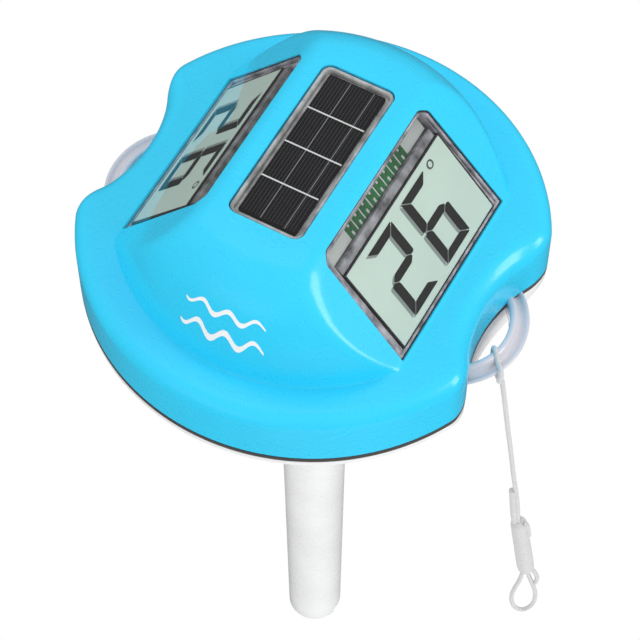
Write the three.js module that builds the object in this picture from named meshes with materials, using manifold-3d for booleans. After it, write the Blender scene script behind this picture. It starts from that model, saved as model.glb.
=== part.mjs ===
// Floating pool thermometer, in millimetres, +Z up.
// The origin is on the axis of the float, at the lower edge of its cover, which is also its waterline.
// +X points at the right-hand display and -Y at the front slope of the cover.

import * as THREE from 'three';
import { mergeVertices } from 'three/addons/utils/BufferGeometryUtils.js';
import Module from 'manifold-3d';

const wasm = await Module();
wasm.setup();

// ---- Driving dimensions ----

const GAP = 0.3; // clearance between touching pieces
const BODY_SIDES = 40; // sides of the large round bodies
const TUBE_SIDES = 28; // sides of the tube and of pieces of its size

// Float outline, seen from above: a circle with a concave notch at each end of X.
const RIM_R = 65;
const NOTCH_R = 42;
const NOTCH_FLOOR_X = 53;
const NOTCH_CENTRE_X = NOTCH_FLOOR_X + NOTCH_R;
const CORNER_R = 5;

// Cover.
const COVER_WALL = 2.2;
const SHELF_Z = 18.5;
const SHELF_ROUND = 4.5;
const HAT_PROFILE = [[0, 49.4], [30, 49.1], [36, 48.5], [40.3, 46.5], [44, 43.3], [47.3, 39],
  [49.9, 33.5], [51.6, 28.5], [53.2, 22.5], [54.2, 17.5]];
const SCREW_AZIMUTHS = [45, 135, 225, 315];
const SCREW_CIRCLE_R = 57;

// Display facets. The facet frame has its origin at the middle of the display window, its X axis
// down the slope, its Y axis along the float's Y and its Z axis out of the facet.
const FACET_TOP = [18.97, 46.8];
const FACET_FOOT = [43.1, SHELF_Z];
const FACET_RUN = FACET_FOOT[0] - FACET_TOP[0];
const FACET_DROP = FACET_TOP[1] - FACET_FOOT[1];
const FACET_SLOPE = Math.atan2(FACET_DROP, FACET_RUN);
const FACET_X = (FACET_TOP[0] + FACET_FOOT[0]) / 2;
const FACET_Z = (FACET_TOP[1] + FACET_FOOT[1]) / 2;

// Display window: a slight trapezoid, wider at its foot.
const WINDOW_TOP_X = -20.3;
const WINDOW_FOOT_X = 18.3;
const WINDOW_TOP_REACH = 0.3;
const WINDOW_HALF_Y_TOP = 28;
const WINDOW_HALF_Y_FOOT = 29;
const WINDOW_THICK = 1.6;
const FLANGE_TOP = -COVER_WALL - GAP;
const FLANGE_FOOT = FLANGE_TOP - 0.8;

// Liquid crystal glass, a standard 50.8 mm wide plate.
const GLASS_X = [-11.9, 16.6];
const GLASS_HALF_Y = 25.4;
const GLASS_TOP = -2.05;
const GLASS_THICK = 2.2;

// Solar window and the standard four-cell panel below it.
const SOLAR_HALF_X = 11.05;
const SOLAR_HALF_Y = 27;
const SOLAR_TOP = 49.1;
const PANEL_HALF_X = 8.45;
const PANEL_HALF_Y = 24.75;
const PANEL_THICK = 1.5;
const SOLAR_THICK = 1.1;
const SOLAR_FLANGE = { top: 46.8, foot: 46 };
const TRAY = { top: 45.7, foot: 43.4, pocket: 1.2 };

// The pieces behind a display window, in the facet's frame.
const FLANGE_REACH = 1.7;
const SKIRT_WALL = 1;
const HOLDER_THICK = 1.7;
const HOLDER_OPEN_X = -16.9;
const CONNECTOR_BAR = { x: [-15.4, -13.1], y: [-21, 21], z: [-5, -3.4] };
const CONNECTOR_PIN = { x: [-16.2, -12.3], z: [-4.7, -4.2], halfWidth: 0.4, first: -20, pitch: 4, count: 11 };
const DISPLAY_BOARD = { x: [-17.8, 18.2], y: [-27.4, 27.4] };

// Screws between the cover and the hull.
const COVER_BOSS_R = 4;
const COVER_PILOT_R = 1.55;
const HULL_BOSS_R = 5;
const HULL_SCREW_HOLE_R = 1.6;
const HEAD_POCKET_R = 3.5;
const HEAD_SEAT_Z = -7.8;
const HULL_SCREW_TIP = 10;

// Gasket and lower hull.
const GASKET_TOP = -GAP;
const GASKET_FOOT = -1.9;
const HULL_TOP = GASKET_FOOT - GAP;
const HULL_WALL = 2.2;
const BOWL_PROFILE = [[0, -24.4], [15.5, -24.4], [22, -23.2], [34, -20.6], [46, -16.5], [55, -11.5],
  [61.5, -6.2], [64.2, -4.4], [65.2, -3.2], [65.2, 0]];
const NECK_R = 9.4;
const NECK_BORE_R = 6;
const NECK_FOOT = -36;

// Tether loops beside the notches.
const LOOP_CENTRE_X = 43;
const LOOP_OUTER_R = 21.5;
const LOOP_INNER_R = 16;
const LOOP_TOP = 1.8;
const LOOP_FOOT = -5;
const LOOP_SECTION = [[LOOP_INNER_R, LOOP_FOOT], [18.6, LOOP_FOOT], [18.6, -3.4], [LOOP_OUTER_R, -0.7],
  [LOOP_OUTER_R, 0], [20.4, 0], [19.8, -0.9], [18.9, -0.9], [18, LOOP_TOP], [LOOP_INNER_R, LOOP_TOP],
  [LOOP_INNER_R, LOOP_FOOT]];
const LOOP_WALL_GAP = 0.8;
const LUG_Y = 12.4;
const LUG_X = [52, 57.2];
const LUG_HALF_WIDTH = 1.2;
const LUG_Z = [-5, -3];

// Electronics.
const BOARD_R = 46;
const BOARD_TOP = -4.9;
const BOARD_THICK = 1.6;
const POST_XY = 30;
const POST_AZIMUTHS = [45, 135, 225, 315];
const CELL_R = 10;
const CELL_THICK = 3.2;
const CELL_XY = [-14, 4];
const BUTTON_XY = [0, -34];
const BUTTON_TRAVEL = 1.2;
const BUTTON_SEAT = [-22, -16.2];
const BUTTON_POCKET = -19.6;

// Sensor tube, stem and ballast.
const TUBE_TOP = -26.7;
const TUBE_FOOT = -221;
const TUBE_OUTER = [[13, TUBE_TOP], [13, -38], [11, -41], [10.4, -84], [9.7, -127], [8.95, -214]];
const TUBE_WALL = 1.8;
const TUBE_FLOOR = [-212, -210];
const SOCKET_R = 9.8;
const SOCKET_FOOT = -38;
const SLOT_WIDTH = 7.5;
const SLOT_TOP = -218.9;
const SLOT_AZIMUTH = 13;
const STEM_R = 2;
const CAPSULE_R = 2.6;
const CAPSULE_TOP = -205;
const CAPSULE_FOOT = -218;
const BALLAST_TOP = -169.7;
const BALLAST_FOOT = -209.7;
const BALLAST_BORE_R = 3.4;

// Tether: the route of the thin cord from its hitch to its sleeve, then the sleeve and end loop.
const CORD_R = 0.7;
const HITCH_Y = -6.6;
const HITCH_WIDTH = 3;
const HITCH_THICK = 1.3;
const CORD_ROUTE = [[62.9, -7.6, -7.1], [63.3, -7.4, -10.5], [63.8, -7.1, -15.2], [64.9, -6.4, -26],
  [65.7, -6, -33.7], [66.6, -5.5, -41.5], [67.7, -4.9, -51.8], [68.8, -4.3, -62.2], [70, -3.6, -72.4],
  [70.9, -3.1, -81.4], [71.5, -2.8, -89.4]];
const SLEEVE_TOP = [71.6, -2.7, -90.1];
const SLEEVE_FOOT = [75.6, -0.5, -122.9];
const SLEEVE_R = 2.6;
const END_LOOP_FOOT = [76.4, 0, -152.8];
const END_LOOP_HALF_WIDTH = 4;

// ---- Materials ----

const plastic = (color, roughness = 0.3) => ({ color, roughness, metalness: 0 });
const FINISH = {
  coverBlue: plastic(0x2fbaf2, 0.2),
  hullWhite: plastic(0xf2f4f6, 0.3),
  rubberGrey: plastic(0x4a4646, 0.7),
  clear: { color: 0xdfe9ee, roughness: 0.05, metalness: 0, transparent: true, opacity: 0.3 },
  lcdGreen: plastic(0xc6d6c8, 0.2),
  holderWhite: plastic(0xdde2e2, 0.4),
  boardGreen: plastic(0x1d7a45, 0.45),
  solarBlack: plastic(0x14161c, 0.2),
  chipBlack: plastic(0x1b1b1d, 0.5),
  rubberBlack: plastic(0x202022, 0.8),
  steel: { color: 0xb8bcc0, roughness: 0.35, metalness: 1 },
  wireWhite: plastic(0xe6e6e6, 0.6),
  cordWhite: plastic(0xf4f4f2, 0.9),
};

// ---- Solids ----

// A closed geometry as a solid, with its faces turned outwards.
function solidOf(geometry) {
  const bare = geometry.clone();
  bare.deleteAttribute('normal');
  bare.deleteAttribute('uv');
  const merged = mergeVertices(bare, 1e-4);
  const vertProperties = new Float32Array(merged.attributes.position.array);
  const corners = Array.from(merged.index.array);
  const triangles = [];
  for (let i = 0; i < corners.length; i += 3) {
    const [a, b, c] = corners.slice(i, i + 3);
    if (a !== b && b !== c && c !== a) triangles.push(a, b, c);
  }
  let volume = 0;
  const point = (k) => new THREE.Vector3().fromArray(vertProperties, 3 * k);
  for (let i = 0; i < triangles.length; i += 3) {
    const [a, b, c] = triangles.slice(i, i + 3).map(point);
    volume += a.dot(b.cross(c));
  }
  if (volume < 0) triangles.reverse();
  const mesh = new wasm.Mesh({ numProp: 3, vertProperties, triVerts: new Uint32Array(triangles) });
  return new wasm.Manifold(mesh);
}

function geometryOf(solid) {
  const mesh = solid.getMesh();
  const geometry = new THREE.BufferGeometry();
  geometry.setAttribute('position', new THREE.BufferAttribute(mesh.vertProperties, 3));
  geometry.setIndex(new THREE.BufferAttribute(mesh.triVerts, 1));
  geometry.computeVertexNormals();
  return geometry;
}

const union = (...solids) => solids.reduce((a, b) => a.add(b));

// A solid of revolution about Z from [radius, z] points that start and end on the axis or close.
function turned(profile, segments = BODY_SIDES) {
  const points = profile.map(([r, z]) => new THREE.Vector2(r, z));
  return solidOf(new THREE.LatheGeometry(points, segments).rotateX(Math.PI / 2));
}

function cylinder(r, z0, z1, [x, y] = [0, 0], segments = 24) {
  const geometry = new THREE.CylinderGeometry(r, r, z1 - z0, segments).rotateX(Math.PI / 2);
  return solidOf(geometry.translate(x, y, (z0 + z1) / 2));
}

function ring(rOuter, rInner, z0, z1, segments = TUBE_SIDES) {
  return turned([[rInner, z0], [rOuter, z0], [rOuter, z1], [rInner, z1], [rInner, z0]], segments);
}

function box([x0, x1], [y0, y1], [z0, z1]) {
  const geometry = new THREE.BoxGeometry(x1 - x0, y1 - y0, z1 - z0);
  return solidOf(geometry.translate((x0 + x1) / 2, (y0 + y1) / 2, (z0 + z1) / 2));
}

// A flat outline of [x, y] points pushed up from z0 to z1.
function prism(outline, z0, z1) {
  const shape = new THREE.Shape(outline.map(([x, y]) => new THREE.Vector2(x, y)));
  const geometry = new THREE.ExtrudeGeometry(shape, { depth: z1 - z0, bevelEnabled: false });
  return solidOf(geometry.translate(0, 0, z0));
}

// A closed surface through outlines of equal length, one for each [outline, z] level, bottom first.
function loft(levels) {
  const count = levels[0][0].length;
  const positions = levels.flatMap(([outline, z]) => outline.flatMap(([x, y]) => [x, y, z]));
  const index = [];
  for (let k = 0; k + 1 < levels.length; k += 1) {
    for (let i = 0; i < count; i += 1) {
      const j = (i + 1) % count;
      const [a, b] = [k * count + i, k * count + j];
      index.push(a, b, b + count, a, b + count, a + count);
    }
  }
  const top = (levels.length - 1) * count;
  const cap = (outline) => {
    const points = outline.map(([x, y]) => new THREE.Vector2(x, y));
    return THREE.ShapeUtils.triangulateShape(points, []);
  };
  cap(levels[0][0]).forEach(([a, b, c]) => index.push(c, b, a));
  cap(levels.at(-1)[0]).forEach(([a, b, c]) => index.push(top + a, top + b, top + c));
  const geometry = new THREE.BufferGeometry();
  geometry.setAttribute('position', new THREE.Float32BufferAttribute(positions, 3));
  geometry.setIndex(index);
  return solidOf(geometry);
}

function arc(cx, cy, r, from, to, steps) {
  return Array.from({ length: steps }, (_, i) => {
    const angle = from + ((to - from) * i) / steps;
    return [cx + r * Math.cos(angle), cy + r * Math.sin(angle)];
  });
}

// The float's outline, moved inwards by inset: two rim arcs, two notch arcs, four rounded corners.
function floatOutline(inset) {
  const rim = RIM_R - inset;
  const notch = NOTCH_R + inset;
  const corner = Math.max(CORNER_R - inset, 0.8);
  const cx = ((rim - corner) ** 2 - (notch + corner) ** 2 + NOTCH_CENTRE_X ** 2) / (2 * NOTCH_CENTRE_X);
  const cy = Math.sqrt((rim - corner) ** 2 - cx ** 2);
  const a = Math.atan2(cy, cx);
  const e = Math.atan2(cy, NOTCH_CENTRE_X - cx);
  const half = [
    ...arc(0, 0, rim, a, Math.PI - a, 15),
    ...arc(-cx, cy, corner, Math.PI - a, Math.PI + e, 3),
    ...arc(-NOTCH_CENTRE_X, 0, notch, e, -e, 7),
    ...arc(-cx, -cy, corner, Math.PI - e, Math.PI + a, 3),
  ];
  return [...half, ...half.map(([x, y]) => [-x, -y])];
}

// A rectangle with round corners; the half width in Y may differ between its low-X and high-X ends.
function roundedRectangle([x0, x1], [halfLow, halfHigh], r, steps = 4) {
  const quarter = Math.PI / 2;
  return [
    ...arc(x1 - r, halfHigh - r, r, 0, quarter, steps),
    ...arc(x0 + r, halfLow - r, r, quarter, 2 * quarter, steps),
    ...arc(x0 + r, -halfLow + r, r, 2 * quarter, 3 * quarter, steps),
    ...arc(x1 - r, -halfHigh + r, r, 3 * quarter, 4 * quarter, steps),
  ];
}

// A profile from the axis outwards, moved to its inner side by a wall thickness.
function insetProfile(points, distance) {
  return points.map(([r, z], i) => {
    const [r0, z0] = points[Math.max(i - 1, 0)];
    const [r1, z1] = points[Math.min(i + 1, points.length - 1)];
    const length = Math.hypot(r1 - r0, z1 - z0);
    const inwards = distance * Math.sign(points[0][1]);
    return [Math.max(r - Math.abs(distance * (z1 - z0)) / length, 0), z - (inwards * (r1 - r0)) / length];
  });
}

// A round section swept along a smooth curve through the points.
function sweptRound(points, r, steps, sides = 8) {
  const curve = new THREE.CatmullRomCurve3(points.map((p) => new THREE.Vector3(...p)));
  const circle = arc(0, 0, r, 0, 2 * Math.PI, sides);
  const section = new THREE.Shape(circle.map(([x, y]) => new THREE.Vector2(x, y)));
  return solidOf(new THREE.ExtrudeGeometry(section, { steps, extrudePath: curve, bevelEnabled: false }));
}

// ---- Scene graph ----

const thermometer = new THREE.Group();

function add(name, solid, finish, parent = thermometer) {
  const mesh = new THREE.Mesh(geometryOf(solid), new THREE.MeshStandardMaterial(finish));
  mesh.name = name;
  parent.add(mesh);
  return mesh;
}

// The two ends of the float, alike after a half turn about Z.
const ends = ['right', 'left'].map((side, i) => {
  const group = new THREE.Group();
  group.rotation.z = i * Math.PI;
  thermometer.add(group);
  const facet = new THREE.Group();
  facet.position.set(FACET_X, 0, FACET_Z);
  facet.rotation.y = FACET_SLOPE;
  group.add(facet);
  return { side, group, facet };
});

const onCircle = (r, degrees) => [
  r * Math.cos(THREE.MathUtils.degToRad(degrees)),
  r * Math.sin(THREE.MathUtils.degToRad(degrees)),
];

const displayOutline = (grow) => roundedRectangle(
  [WINDOW_TOP_X - Math.min(grow, WINDOW_TOP_REACH), WINDOW_FOOT_X + grow],
  [WINDOW_HALF_Y_TOP + grow, WINDOW_HALF_Y_FOOT + grow],
  1.5 + Math.max(grow, 0),
);

const solarOutline = (grow) => roundedRectangle(
  [-SOLAR_HALF_X - grow, SOLAR_HALF_X + grow],
  [SOLAR_HALF_Y + grow, SOLAR_HALF_Y + grow],
  3 + grow,
);

// Turns a solid made in the right facet frame into the frame of the whole float.
function placeOnFacet(solid, turn) {
  const geometry = geometryOf(solid);
  geometry.rotateY(FACET_SLOPE).translate(FACET_X, 0, FACET_Z).rotateZ(turn);
  return solidOf(geometry);
}

// ---- Cover ----

// The trapezoid between the two facets, moved inwards by inset.
function facetWedge(inset) {
  const shift = inset / Math.sin(FACET_SLOPE);
  const slopeX = (z) => FACET_TOP[0] - shift + (FACET_TOP[1] - z) / Math.tan(FACET_SLOPE);
  const [low, high] = [8, 60];
  const outline = [[-slopeX(low), low], [slopeX(low), low], [slopeX(high), high], [-slopeX(high), high]];
  const shape = new THREE.Shape(outline.map(([x, z]) => new THREE.Vector2(x, z)));
  const geometry = new THREE.ExtrudeGeometry(shape, { depth: 2 * RIM_R, bevelEnabled: false });
  return solidOf(geometry.translate(0, 0, -RIM_R).rotateX(Math.PI / 2));
}

function hatBody(inset) {
  const profile = insetProfile(HAT_PROFILE, inset);
  profile[0][0] = 0;
  const foot = profile.at(-1)[0];
  return turned([...profile, [foot, 9], [0, 9]]).intersect(facetWedge(inset));
}

function rimBody(inset, bottom) {
  const steps = 3;
  const round = Math.max(SHELF_ROUND - inset, 0.5);
  const top = SHELF_Z - inset;
  const levels = [[floatOutline(inset), bottom]];
  for (let i = 0; i <= steps; i += 1) {
    const angle = (i / steps) * (Math.PI / 2);
    const [side, up] = [round * (1 - Math.cos(angle)), round * Math.sin(angle)];
    levels.push([floatOutline(inset + side), top - round + up]);
  }
  return loft(levels);
}

function coverBoss(degrees) {
  return cylinder(COVER_BOSS_R, 0.6, SHELF_Z - COVER_WALL + 1, onCircle(SCREW_CIRCLE_R, degrees), 16);
}

function cover() {
  const outer = union(rimBody(0, 0), hatBody(0));
  const inner = union(rimBody(COVER_WALL, -5), hatBody(COVER_WALL));
  const bosses = SCREW_AZIMUTHS.map(coverBoss);
  const pilots = SCREW_AZIMUTHS.map((degrees) => {
    return cylinder(COVER_PILOT_R, 0, HULL_SCREW_TIP + 1, onCircle(SCREW_CIRCLE_R, degrees), 12);
  });
  const displayCut = prism(displayOutline(0), -5, 5);
  const cuts = [
    placeOnFacet(displayCut, 0),
    placeOnFacet(displayCut, Math.PI),
    prism(solarOutline(0), 40, 60),
    ...pilots,
  ];
  return union(outer.subtract(inner), ...bosses).subtract(union(...cuts));
}

add('top_cover', cover(), FINISH.coverBlue);

// ---- Windows, displays and solar panel ----

// A clear plate that fills an opening, with a skirt and a flange behind the wall.
function flangedWindow(outline, top, thick, flangeTop, flangeFoot) {
  const plate = prism(outline(-GAP), top - thick, top);
  const skirt = prism(outline(-GAP), flangeFoot, top - thick + 0.1);
  const flange = prism(outline(FLANGE_REACH), flangeFoot, flangeTop);
  const hollow = prism(outline(-GAP - SKIRT_WALL), flangeFoot - 1, top - thick);
  return union(plate, union(skirt, flange).subtract(hollow));
}

function displayStack({ side, facet }) {
  const window = flangedWindow(displayOutline, -0.05, WINDOW_THICK, FLANGE_TOP, FLANGE_FOOT);
  add(`display_window_${side}`, window, FINISH.clear, facet);

  const glassFoot = GLASS_TOP - GLASS_THICK;
  const glass = box(GLASS_X, [-GLASS_HALF_Y, GLASS_HALF_Y], [glassFoot, GLASS_TOP]);
  add(`lcd_glass_${side}`, glass, FINISH.lcdGreen, facet);

  const holderTop = FLANGE_FOOT - GAP;
  const holderFoot = holderTop - HOLDER_THICK;
  const openingY = [-GLASS_HALF_Y - GAP, GLASS_HALF_Y + GAP];
  const opening = box([HOLDER_OPEN_X, GLASS_X[1] + GAP], openingY, [-9, 0]);
  const holder = prism(displayOutline(1.2), holderFoot, holderTop).subtract(opening);
  add(`display_holder_${side}`, holder, FINISH.holderWhite, facet);

  const pinBar = box(CONNECTOR_BAR.x, CONNECTOR_BAR.y, CONNECTOR_BAR.z);
  const pins = Array.from({ length: CONNECTOR_PIN.count }, (_, i) => {
    const y = CONNECTOR_PIN.first + CONNECTOR_PIN.pitch * i;
    return box(CONNECTOR_PIN.x, [y - CONNECTOR_PIN.halfWidth, y + CONNECTOR_PIN.halfWidth], CONNECTOR_PIN.z);
  });
  add(`display_connector_${side}`, union(pinBar, ...pins), FINISH.holderWhite, facet);

  const boardTop = holderFoot - GAP;
  const board = box(DISPLAY_BOARD.x, DISPLAY_BOARD.y, [boardTop - BOARD_THICK, boardTop]);
  add(`display_board_${side}`, board, FINISH.boardGreen, facet);
}

ends.forEach(displayStack);

function solarPanel() {
  const window = flangedWindow(solarOutline, SOLAR_TOP, SOLAR_THICK, SOLAR_FLANGE.top, SOLAR_FLANGE.foot);
  add('solar_window', window, FINISH.clear);

  const panelTop = SOLAR_TOP - SOLAR_THICK - GAP;
  const panelZ = [panelTop - PANEL_THICK, panelTop];
  const panel = box([-PANEL_HALF_X, PANEL_HALF_X], [-PANEL_HALF_Y, PANEL_HALF_Y], panelZ);
  add('solar_panel', panel, FINISH.solarBlack);

  const pocket = prism(solarOutline(-0.4), TRAY.top - TRAY.pocket, TRAY.top + 1);
  const tray = prism(solarOutline(1.2), TRAY.foot, TRAY.top).subtract(pocket);
  add('panel_tray', tray, FINISH.holderWhite);
}

solarPanel();

// ---- Gasket ----

add('hull_gasket', prism(floatOutline(0.5), GASKET_FOOT, GASKET_TOP)
  .subtract(prism(floatOutline(3), GASKET_FOOT - 1, GASKET_TOP + 1)), FINISH.rubberGrey);

// ---- Lower hull ----

const lugSides = [1, -1];

// The lug that ties an end of a tether loop into the hull, on the +Y or -Y side of the right-hand notch.
function loopLug(side, grow) {
  const across = [side * LUG_Y - LUG_HALF_WIDTH - grow, side * LUG_Y + LUG_HALF_WIDTH + grow];
  return box([LUG_X[0] - grow, LUG_X[1] + grow], across, [LUG_Z[0] - grow, LUG_Z[1] + grow]);
}

function lowerHull() {
  const bowl = turned([...BOWL_PROFILE, [0, 0]]);
  const outer = bowl.intersect(prism(floatOutline(0.2), -60, HULL_TOP));
  const innerProfile = insetProfile(BOWL_PROFILE, HULL_WALL);
  innerProfile[0][0] = 0;
  const innerRim = RIM_R - 0.2 - HULL_WALL;
  innerProfile.splice(-2, 2, [innerRim, -3.2], [innerRim, 2]);
  const inner = turned([...innerProfile, [0, 2]]).intersect(prism(floatOutline(0.2 + HULL_WALL), -60, 2));
  const neck = cylinder(NECK_R, NECK_FOOT, -23, [0, 0], TUBE_SIDES);
  const screwPlaces = SCREW_AZIMUTHS.map((degrees) => onCircle(SCREW_CIRCLE_R, degrees));
  const bosses = screwPlaces.map((place) => cylinder(HULL_BOSS_R, -40, HULL_TOP, place, 16));
  const posts = POST_AZIMUTHS.map((degrees) => {
    return cylinder(3.2, -40, BOARD_TOP - BOARD_THICK - GAP, onCircle(POST_XY * Math.SQRT2, degrees), 12);
  });
  const inside = union(...bosses, ...posts).intersect(outer);
  const holes = [
    cylinder(NECK_BORE_R, NECK_FOOT - 1, -10, [0, 0], TUBE_SIDES),
    ...screwPlaces.map((place) => cylinder(HULL_SCREW_HOLE_R, -30, 2, place, 12)),
    ...screwPlaces.map((place) => cylinder(HEAD_POCKET_R, -30, HEAD_SEAT_Z + GAP, place, 16)),
    ...POST_AZIMUTHS.map((degrees) => {
      return cylinder(1.4, -14, 2, onCircle(POST_XY * Math.SQRT2, degrees), 10);
    }),
    cylinder(5.4, -30, BUTTON_POCKET, BUTTON_XY),
    cylinder(2.6, -30, 2, BUTTON_XY),
    ...[0, Math.PI].flatMap((turn) => lugSides.map((side) => {
      return solidOf(geometryOf(loopLug(side, GAP)).rotateZ(turn));
    })),
  ];
  const buttonSeat = cylinder(7.5, ...BUTTON_SEAT, BUTTON_XY, 24);
  return union(outer.subtract(inner), inside, buttonSeat, neck).subtract(union(...holes));
}

add('lower_hull', lowerHull(), FINISH.hullWhite);

// ---- Tether loops ----

// A bent band with a groove along its top, cut back to clear the notch wall.
function tetherLoop({ side, group }) {
  const band = solidOf(geometryOf(turned(LOOP_SECTION, 64)).translate(LOOP_CENTRE_X, 0, 0));
  const reach = cylinder(NOTCH_R - LOOP_WALL_GAP, -20, 20, [NOTCH_CENTRE_X, 0], 96);
  const lugs = lugSides.map((lugSide) => loopLug(lugSide, 0));
  add(`tether_loop_${side}`, union(band.intersect(reach), ...lugs), FINISH.hullWhite, group);
}

ends.forEach(tetherLoop);

// ---- Electronics inside the hull ----

function mainBoard() {
  const screws = POST_AZIMUTHS.map((degrees) => onCircle(POST_XY * Math.SQRT2, degrees));
  const holes = screws.map((place) => cylinder(1.5, -20, 2, place, 12));
  const board = cylinder(BOARD_R, BOARD_TOP - BOARD_THICK, BOARD_TOP, [0, 0], BODY_SIDES);
  add('main_board', board.subtract(union(...holes)), FINISH.boardGreen);
  screws.forEach((place, i) => {
    add(`board_screw_${i + 1}`, screw(place, BOARD_TOP + GAP, 1.7, 2.4, 1.1, -13.5), FINISH.steel);
  });
}

// A pan-head screw with its head resting on z; up is +1 for a head above z and -1 below it.
function screw(place, z, headHeight, headR, shaftR, tip, up = 1) {
  const headEnd = z + up * headHeight;
  const head = cylinder(headR, Math.min(z, headEnd), Math.max(z, headEnd), place, 16);
  const shaft = cylinder(shaftR, Math.min(tip, z + up * 0.1), Math.max(tip, z + up * 0.1), place, 10);
  const depth = [headEnd - up * 0.9, headEnd + up].sort((a, b) => a - b);
  const [x, y] = place;
  const cross = union(
    box([x - 1.5, x + 1.5], [y - 0.3, y + 0.3], depth),
    box([x - 0.3, x + 0.3], [y - 1.5, y + 1.5], depth),
  );
  return union(head, shaft).subtract(cross);
}

mainBoard();

SCREW_AZIMUTHS.forEach((degrees, i) => {
  const body = screw(onCircle(SCREW_CIRCLE_R, degrees), HEAD_SEAT_Z, 1.8, 2.9, 1.25, HULL_SCREW_TIP, -1);
  add(`hull_screw_${i + 1}`, body, FINISH.steel);
});

function boardParts() {
  const chipFoot = BOARD_TOP + GAP;
  add('controller_chip', box([12, 22], [6, 16], [chipFoot, chipFoot + 1.6]), FINISH.chipBlack);

  const holderFoot = BOARD_TOP + GAP;
  const cellFoot = holderFoot + 1.2;
  const [cellX, cellY] = CELL_XY;
  const clip = box([cellX - 20, cellX - 4], [cellY - 5, cellY + 5], [cellFoot, cellFoot + 9]);
  const holder = cylinder(CELL_R + 2, holderFoot, cellFoot + CELL_THICK, CELL_XY, TUBE_SIDES)
    .subtract(cylinder(CELL_R + GAP, cellFoot - GAP, 10, CELL_XY, TUBE_SIDES))
    .subtract(clip);
  add('battery_holder', holder, FINISH.chipBlack);
  add('coin_cell', cylinder(CELL_R, cellFoot, cellFoot + CELL_THICK, CELL_XY, TUBE_SIDES), FINISH.steel);

  const switchTop = BOARD_TOP - BOARD_THICK - GAP;
  const [x, y] = BUTTON_XY;
  add('unit_switch', box([x - 3, x + 3], [y - 3, y + 3], [switchTop - 3.5, switchTop]), FINISH.chipBlack);
}

boardParts();

function unitButton() {
  const switchFoot = BOARD_TOP - BOARD_THICK - GAP - 3.5;
  const capTop = BUTTON_POCKET - BUTTON_TRAVEL - GAP;
  const capFoot = BUTTON_SEAT[0] - 0.9;
  const cap = cylinder(5, capFoot, capTop, BUTTON_XY, 24);
  const plunger = cylinder(2.2, capTop - 0.1, switchFoot - BUTTON_TRAVEL - 0.2, BUTTON_XY, 16);
  add('unit_button', union(cap, plunger), FINISH.rubberGrey);

  const sealFoot = BUTTON_SEAT[1] + GAP;
  const seal = cylinder(5.5, sealFoot, sealFoot + 1, BUTTON_XY, 24)
    .subtract(cylinder(2.5, -30, 0, BUTTON_XY, 16));
  add('button_seal', seal, FINISH.rubberBlack);
}

unitButton();

// A flat cable of the right half, from the back of the display board down to the main board.
function displayCable({ side, group }) {
  const route = [[34.6, 15.6], [33.2, 11], [33.4, 6], [35.4, 1], [36, -4.4]];
  const thick = 0.5;
  const shape = new THREE.Shape([...route, ...route.map(([x, z]) => [x + thick, z]).reverse()]
    .map(([x, z]) => new THREE.Vector2(x, z)));
  const geometry = new THREE.ExtrudeGeometry(shape, { depth: 12, bevelEnabled: false });
  const cable = solidOf(geometry.translate(0, 0, -6).rotateX(Math.PI / 2));
  add(`display_cable_${side}`, cable, FINISH.wireWhite, group);
}

ends.forEach(displayCable);

const solarLead = [[0, 12, 43.1], [0.5, 12.5, 34], [2, 14, 20], [3, 14, 6], [3, 13, -4.3]];
add('solar_lead', sweptRound(solarLead, 0.9, 14), FINISH.wireWhite);

// ---- Stem, sensor and their gland ----

const glandFoot = NECK_FOOT + 2;
const glandCollar = { r: 8.5, foot: -21.9, top: -20.2 };
add('stem_gland', turned([[STEM_R + GAP, glandFoot], [NECK_BORE_R - GAP, glandFoot],
  [NECK_BORE_R - GAP, glandCollar.foot], [glandCollar.r, glandCollar.foot], [glandCollar.r, glandCollar.top],
  [STEM_R + GAP, glandCollar.top], [STEM_R + GAP, glandFoot]], 20), FINISH.rubberBlack);
add('sensor_stem', cylinder(STEM_R, CAPSULE_TOP + GAP, -16, [0, 0], 16), FINISH.wireWhite);
add('sensor_capsule', turned([[0, CAPSULE_FOOT], [1.6, CAPSULE_FOOT + 0.4], [CAPSULE_R, CAPSULE_FOOT + 2],
  [CAPSULE_R, CAPSULE_TOP], [0, CAPSULE_TOP]], 20), FINISH.steel);
add('sensor_lead', cylinder(0.8, -15.7, BOARD_TOP - BOARD_THICK - GAP, [0, 0], 10), FINISH.wireWhite);

// ---- Sensor tube, its seal and its ballast ----

// The tube screws on to the neck of the hull. Two open notches at its foot let the water reach the sensor.
function sensorTube() {
  const edge = 1.6;
  const footR = TUBE_OUTER.at(-1)[0];
  const outer = [...TUBE_OUTER, [footR, TUBE_FOOT + edge], [footR - edge * 0.3, TUBE_FOOT + edge * 0.3],
    [footR - edge, TUBE_FOOT]];
  const body = turned([[0, TUBE_TOP], ...outer, [0, TUBE_FOOT]], TUBE_SIDES);
  const [floorFoot, floorTop] = TUBE_FLOOR;
  const bore = [[0, SOCKET_FOOT + 20], [SOCKET_R, SOCKET_FOOT + 20], [SOCKET_R, SOCKET_FOOT],
    ...TUBE_OUTER.slice(2).map(([r, z]) => [r - TUBE_WALL, Math.max(z, floorTop)]), [0, floorTop]];
  const footBore = cylinder(footR - TUBE_WALL, TUBE_FOOT - 5, floorFoot, [0, 0], TUBE_SIDES);
  const slots = [0, 180].map((turn) => {
    const half = SLOT_WIDTH / 2;
    const cut = geometryOf(box([0, 12], [-half, half], [TUBE_FOOT - 5, SLOT_TOP]));
    return solidOf(cut.rotateZ(THREE.MathUtils.degToRad(SLOT_AZIMUTH + turn)));
  });
  const hole = cylinder(CAPSULE_R + 0.6, TUBE_FOOT, floorTop + 5, [0, 0], 20);
  return body.subtract(union(turned(bore, TUBE_SIDES), footBore, hole, ...slots));
}

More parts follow.
